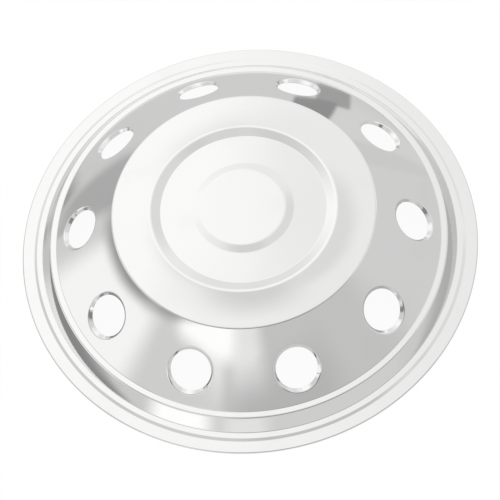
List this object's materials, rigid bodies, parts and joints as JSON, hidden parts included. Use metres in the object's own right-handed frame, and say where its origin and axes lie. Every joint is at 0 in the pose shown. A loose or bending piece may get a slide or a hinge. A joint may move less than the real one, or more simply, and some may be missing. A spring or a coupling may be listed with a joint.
{
  "type": "truck wheel simulator",
  "caption": "Polished stainless dress cover for a heavy truck wheel: stepped rim lip, steep cone with a ring of hand holes with turned-in lips, and a shallow dished face.",
  "frame": {"origin": "middle of the circle on which the turned-down edge of the rim lip rests, at the bottom of the part", "axes": "+Z along the wheel's axis, out of the bright face and away from the truck; +X through the middle of one hand hole"},
  "size_m": [0.59, 0.59, 0.0932],
  "materials": {
    "polished_steel": "mirror polished stainless sheet"
  },
  "bodies": {
    "root": {"wheel_cover": "polished_steel"}
  },
  "joints": []
}
